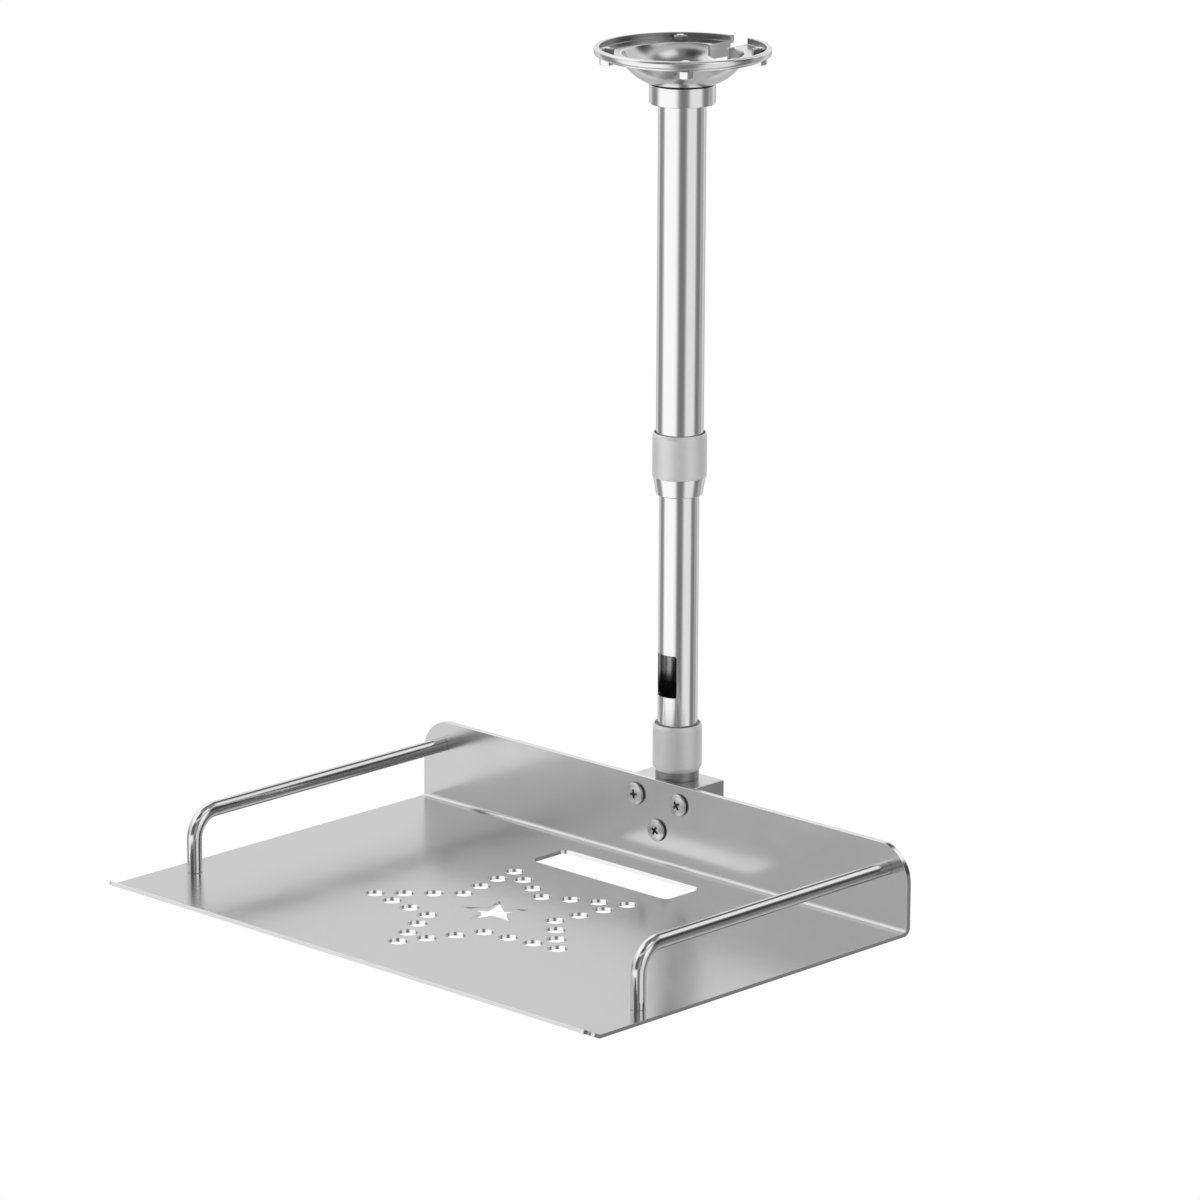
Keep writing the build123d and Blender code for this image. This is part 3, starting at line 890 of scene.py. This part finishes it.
def blank(shape, loops, thickness, ease, ease_steps=3):
    """A flat plate with rounded edges. Its outline runs against the clock, its holes with it."""
    profile = []
    for step in range(ease_steps + 1):
        turn = pi / 2 * step / ease_steps
        profile.append((ease * (1 - sin(turn)), ease * (1 - cos(turn))))
    profile += [(inward, thickness - depth) for inward, depth in reversed(profile)]
    caps = {0: [], len(profile) - 1: []}
    for loop in loops:
        rings = []
        for inward, depth in profile:
            rings.append([shape.verts.new((p.x, p.y, -depth)) for p in inset(loop, inward)])
        for level in caps:
            caps[level].append(rings[level])
        for ring, next_ring in zip(rings, rings[1:]):
            for k in range(len(ring)):
                after = (k + 1) % len(ring)
                side = shape.faces.new((ring[k], next_ring[k], next_ring[after], ring[after]))
                side.material_index = edge_finish
    for level in caps:
        verts = [vert for ring in caps[level] for vert in ring]
        outlines = [[vert.co.copy() for vert in ring] for ring in caps[level]]
        for triangle in tessellate_polygon(outlines):
            shape.faces.new([verts[k] for k in triangle])
    bmesh.ops.recalc_face_normals(shape, faces=shape.faces)


def rounded_box(low, high, radii, steps=14):
    """Outline against the clock. radii go from the near right corner on."""
    centres = [
        (high[0] - radii[0], low[1] + radii[0]),
        (high[0] - radii[1], high[1] - radii[1]),
        (low[0] + radii[2], high[1] - radii[2]),
        (low[0] + radii[3], low[1] + radii[3]),
    ]
    points = []
    for quarter, (centre, radius) in enumerate(zip(centres, radii)):
        points += arc(centre, radius, pi / 2 * (quarter - 1), pi / 2 * quarter, steps)
    return points


def star(radius, waist, centre):
    """Five-pointed star, first tip to the tray's front."""
    corners = []
    for k in range(10):
        reach = waist if k % 2 else radius
        turn = pi * (k / 5 - 0.5)
        corners.append((reach * cos(turn), centre + reach * sin(turn)))
    return corners


star_from_back = 122.3 * mm
star_radius = 69.7 * mm
star_waist = 34.85 * mm
hole_radius = 5.2 * mm
hole_points = 48
holes_per_side = 3
cut_radius = 18.6 * mm
cut_waist = cut_radius * 0.38
slot_from_back = 18.5 * mm
slot_depth = 27.0 * mm
slot_half = 49.5 * mm
slot_round = 4.0 * mm
star_middle = back_face - star_from_back + flat_shift
tray_star = star(star_radius, star_waist, star_middle)
cut_star = star(cut_radius, cut_waist, star_middle)
slot_far = back_face - slot_from_back + flat_shift
slot_near = slot_far - slot_depth
outline_corners = [lip_corner, back_corner, back_corner, lip_corner]
outline = rounded_box((-half_width, 0), (half_width, blank_length), outline_corners)
slot = rounded_box((-slot_half, slot_near), (slot_half, slot_far), [slot_round] * 4)
loops = [outline, slot[::-1], cut_star[::-1]]
for start, end in zip(tray_star, tray_star[1:] + tray_star[:1]):
    for step in range(holes_per_side):
        share = step / holes_per_side
        middle = (start[0] + share * (end[0] - start[0]), start[1] + share * (end[1] - start[1]))
        last_turn = -2 * pi * (hole_points - 1) / hole_points
        loops.append(arc(middle, hole_radius, 0, last_turn, hole_points - 1))
tray_shape = bmesh.new()
blank(tray_shape, loops, sheet, edge_ease)
bend_start = 0.0
for length, radius in stretches:
    for step in range(bend_steps + 1 if radius else 0):
        line = bend_start + length * step / bend_steps
        everything = tray_shape.verts[:] + tray_shape.edges[:] + tray_shape.faces[:]
        bmesh.ops.bisect_plane(
            tray_shape, geom=everything, plane_co=(0, line, 0), plane_no=(0, 1, 0), dist=1e-7
        )
    bend_start += length
for vert in tray_shape.verts:
    vert.co = bent(vert.co.x, vert.co.y, -vert.co.z)
tray = piece_from(tray_shape, "bent_tray")
weigh_normals(tray)
cut_sides = [face.index for face in tray.data.polygons if face.material_index == edge_finish]
finish(tray, sheet_steel, "tray", "sheet_steel", "tray")
tray.data.materials.append(edge_steel)
for index in cut_sides:
    tray.data.polygons[index].material_index = edge_finish

# Back screws
# Three stainless pan-head screws with a cross recess, through the back plate into the
# block. The cross and the short side of each head are painted dark as shade.
screw_steel = bare_metal(
    "screw_steel", tone=(0.60, 0.60, 0.60), gloss=0.20, grain_size=0.3 * mm,
    stretch=(1, 1, 1), grain_height=0.003 * mm,
)
shaded_steel = bare_metal(
    "shaded_steel", tone=(0.15, 0.15, 0.15), gloss=0.40, grain_size=0.3 * mm,
    stretch=(1, 1, 1), grain_height=0.006 * mm,
)
back_shank = 3.0 * mm
back_cross_reach = 2.9 * mm
back_cross_width = 0.72 * mm
stopped_at = {"left": 8, "right": 35, "lower": 62}
screw_slices = 64


def pan_screw(name, node, radius, height, shank, length, place, reach, width):
    """A pan-head screw: short side and low dome, a cross pressed in, shank behind. The cross and
    the side carry painted shade.
    """
    centre_gap = 0.02 * mm
    line = [(centre_gap, -length), (shank - 0.4 * mm, -length)]
    line += [(shank, -length + 0.5 * mm), (shank, 0), (radius, 0)]
    upright = height * 0.45
    shoulder = radius * 0.14
    rise = height * 0.30
    shoulder_steps, dome_steps = 6, 8
    for step in range(shoulder_steps + 1):
        turn = pi / 2 * step / shoulder_steps
        line.append((radius - shoulder * (1 - cos(turn)), upright + rise * sin(turn)))
    for step in range(1, dome_steps + 1):
        k = step / dome_steps
        dome = height - (height - upright - rise) * (1 - k) ** 2
        line.append((max((radius - shoulder) * (1 - k), centre_gap), dome))
    piece = piece_from(turn_section(bmesh.new(), line, screw_slices), name, sharp=40)
    wedge_top, wedge_foot = height + 0.3 * mm, height * 0.35
    foot_reach, foot_width = 0.42, 0.8
    for quarter in (0, 1):
        wedge = bmesh.new()
        top = [(-reach, -width), (reach, -width), (reach, width), (-reach, width)]
        upper = [wedge.verts.new((x, y, wedge_top)) for x, y in top]
        lower = [wedge.verts.new((x * foot_reach, y * foot_width, wedge_foot)) for x, y in top]
        join_rings(wedge, [upper, lower])
        wedge.faces.new(upper)
        wedge.faces.new(lower)
        bmesh.ops.rotate(wedge, verts=wedge.verts, matrix=Matrix.Rotation(pi / 2 * quarter, 3, "Z"))
        cut(piece, wedge)
    # Painted shade: the cross recess and the short side of the head take the dark material.
    shaded = []
    within, at_edge = 0.97, 0.98
    for face in piece.data.polygons:
        near, far = sorted((abs(face.center.x), abs(face.center.y)))
        in_cross = near < width * within and far < reach * within and face.center.z > 0.1 * mm
        on_side = hypot(near, far) > radius * at_edge and 0 < face.center.z < upright
        if in_cross or on_side:
            shaded.append(face.index)
    piece.data.transform(place)
    finish(piece, screw_steel, "tray", "screw_steel", node)
    piece.data.materials.append(shaded_steel)
    for index in shaded:
        piece.data.polygons[index].material_index = 1


forward = Matrix.Rotation(pi / 2, 4, "X")
for side, angle in stopped_at.items():
    screw_low, screw_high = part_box("back_screw_" + side)
    middle = (screw_low + screw_high) / 2
    twist = Matrix.Rotation(radians(angle), 4, "Z")
    place = Matrix.Translation((middle.x, back_face, middle.z)) @ forward @ twist
    head_height, head_radius = back_face - screw_low.y, screw_high.x - middle.x
    pan_screw(
        "pan_screw_" + side, "back_screw_" + side, head_radius, head_height, back_shank,
        screw_high.y - back_face, place, back_cross_reach, back_cross_width,
    )

# Side rails
# Polished solid rods, bent once, that stand on the tray and run back to the back plate,
# each held by a small screw through the sheet at both its ends.
rail_radius = 4.0 * mm
rail_bend = 14.0 * mm
rail_bend_steps = 24
rail_shank = 2.0 * mm
rail_cross_reach = 1.8 * mm
rail_cross_width = 0.45 * mm
rod_steel = bare_metal(
    "rod_steel", tone=(0.75, 0.75, 0.755), gloss=0.14, grain_size=0.4 * mm,
    stretch=(1.0, 0.3, 1.0), grain_height=0.0016 * mm, drift=0.02,
)
under = Matrix.Rotation(pi, 4, "X")
behind = Matrix.Rotation(-pi / 2, 4, "X")


def rod(shape, line, across, radius, ease=0.25 * mm, samples=48):
    """A round rod along a flat line of (place, direction) pairs."""
    first, first_way = line[0]
    last, last_way = line[-1]
    stations = [(first, first_way, ease), (first + first_way * ease, first_way, 0)]
    stations += [(place, direction, 0) for place, direction in line[1:-1]]
    stations += [(last - last_way * ease, last_way, 0), (last, last_way, ease)]
    rings = []
    for place, direction, shrink in stations:
        side = across.cross(direction)
        ring = []
        for k in range(samples):
            turn = 2 * pi * k / samples
            spoke = across * cos(turn) + side * sin(turn)
            ring.append(shape.verts.new(place + spoke * (radius - shrink)))
        rings.append(ring)
    join_rings(shape, rings)
    shape.faces.new(list(reversed(rings[0])))
    shape.faces.new(rings[-1])


for side in ("left", "right"):
    rail_low, rail_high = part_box(side + "_rail")
    x = (rail_low.x + rail_high.x) / 2
    foot_y = rail_low.y + rail_radius
    level = rail_high.z - rail_radius
    line = [(Vector((x, foot_y, rail_low.z)), Vector((0, 0, 1)))]
    for step in range(rail_bend_steps + 1):
        turn = pi / 2 * step / rail_bend_steps
        y = foot_y + rail_bend * (1 - cos(turn))
        z = level - rail_bend * (1 - sin(turn))
        line.append((Vector((x, y, z)), Vector((0, sin(turn), cos(turn)))))
    line.append((Vector((x, rail_high.y, level)), Vector((0, 1, 0))))
    bar = bmesh.new()
    rod(bar, line, Vector((1, 0, 0)), rail_radius)
    rail = piece_from(bar, side + "_bent_rod")
    finish(rail, rod_steel, "tray", "polished_steel", side + "_rail")
    for end, facing in (("foot", under), ("back", behind)):
        node = f"{side}_rail_{end}_screw"
        screw_low, screw_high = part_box(node)
        middle = (screw_low + screw_high) / 2
        if end == "foot":
            seat_point = Vector((middle.x, middle.y, tray_top - sheet))
            height, length = seat_point.z - screw_low.z, screw_high.z - seat_point.z
        else:
            seat_point = Vector((middle.x, back_face + back_sheet, middle.z))
            height, length = screw_high.y - seat_point.y, seat_point.y - screw_low.y
        pan_screw(
            f"{side}_{end}_pan_screw", node, screw_high.x - middle.x, height, rail_shank, length,
            Matrix.Translation(seat_point) @ facing, rail_cross_reach, rail_cross_width,
        )
